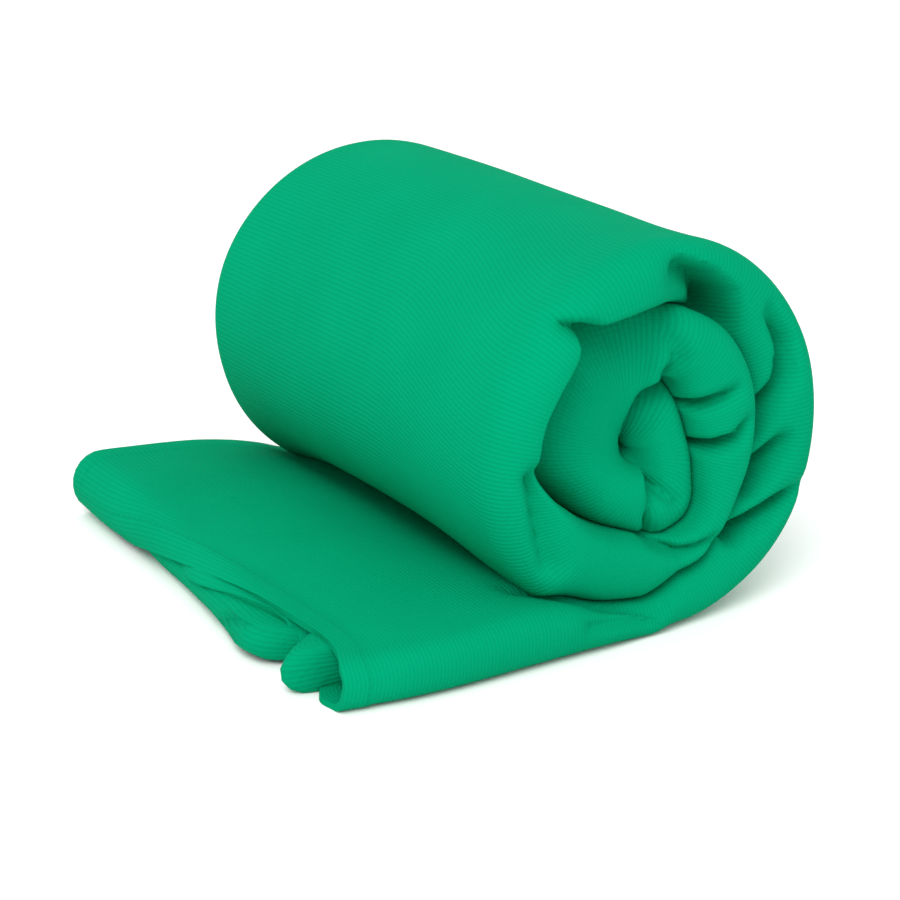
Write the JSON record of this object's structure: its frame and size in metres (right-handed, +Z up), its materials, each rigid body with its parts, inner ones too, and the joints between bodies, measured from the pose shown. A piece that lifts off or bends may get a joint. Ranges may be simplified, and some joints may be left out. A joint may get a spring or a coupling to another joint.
{
  "type": "quick dry towel",
  "caption": "Folded microfibre towel rolled into a fat cylinder with a spiral end and a free flat tail that bends up towards the roll.",
  "frame": {"origin": "on the flat underside, under the middle of the roll", "axes": "+Z up; Y along the roll's axis, with the end that shows the smooth folded spiral at -Y; the free tail points along -X"},
  "size_m": [0.1665, 0.185, 0.1148],
  "materials": {
    "towel_cloth": "matt brushed microfibre knit with fine ribs",
    "hem": "matt microfibre knit, turned under and stitched"
  },
  "bodies": {
    "roll": {"outer_turn_cover": "towel_cloth", "outer_turn_inner_plies": "towel_cloth", "inner_turn_cover": "towel_cloth", "inner_turn_inner_plies": "towel_cloth", "core_turn": "towel_cloth", "tail_base_cover": "towel_cloth", "tail_base_inner_plies": "towel_cloth"},
    "tail_1": {"tail_1_cover": "towel_cloth", "tail_1_inner_plies": "towel_cloth"},
    "tail_2": {"tail_2_cover": "towel_cloth", "tail_2_inner_plies": "towel_cloth"},
    "tail_3": {"tail_3_cover": "towel_cloth", "tail_3_inner_plies": "towel_cloth", "cover_end_hem": "hem", "inner_plies_end_hem": "hem"}
  },
  "joints": [
    {"name": "tail_root_bend", "type": "hinge", "parent": "roll", "child": "tail_1", "pos_m": [-0.048, 0, 0.019], "axis": [0, 1, 0], "range_deg": [0, 36]},
    {"name": "tail_middle_bend", "type": "hinge", "parent": "tail_1", "child": "tail_2", "pos_m": [-0.069, 0, 0.01733], "axis": [0, 1, 0], "range_deg": [0, 36]},
    {"name": "tail_end_bend", "type": "hinge", "parent": "tail_2", "child": "tail_3", "pos_m": [-0.09, 0, 0.01567], "axis": [0, 1, 0], "range_deg": [0, 36]}
  ],
  "couplings": [
    {"joint": "tail_middle_bend", "follows": "tail_root_bend", "ratio": 1},
    {"joint": "tail_end_bend", "follows": "tail_root_bend", "ratio": 1}
  ]
}
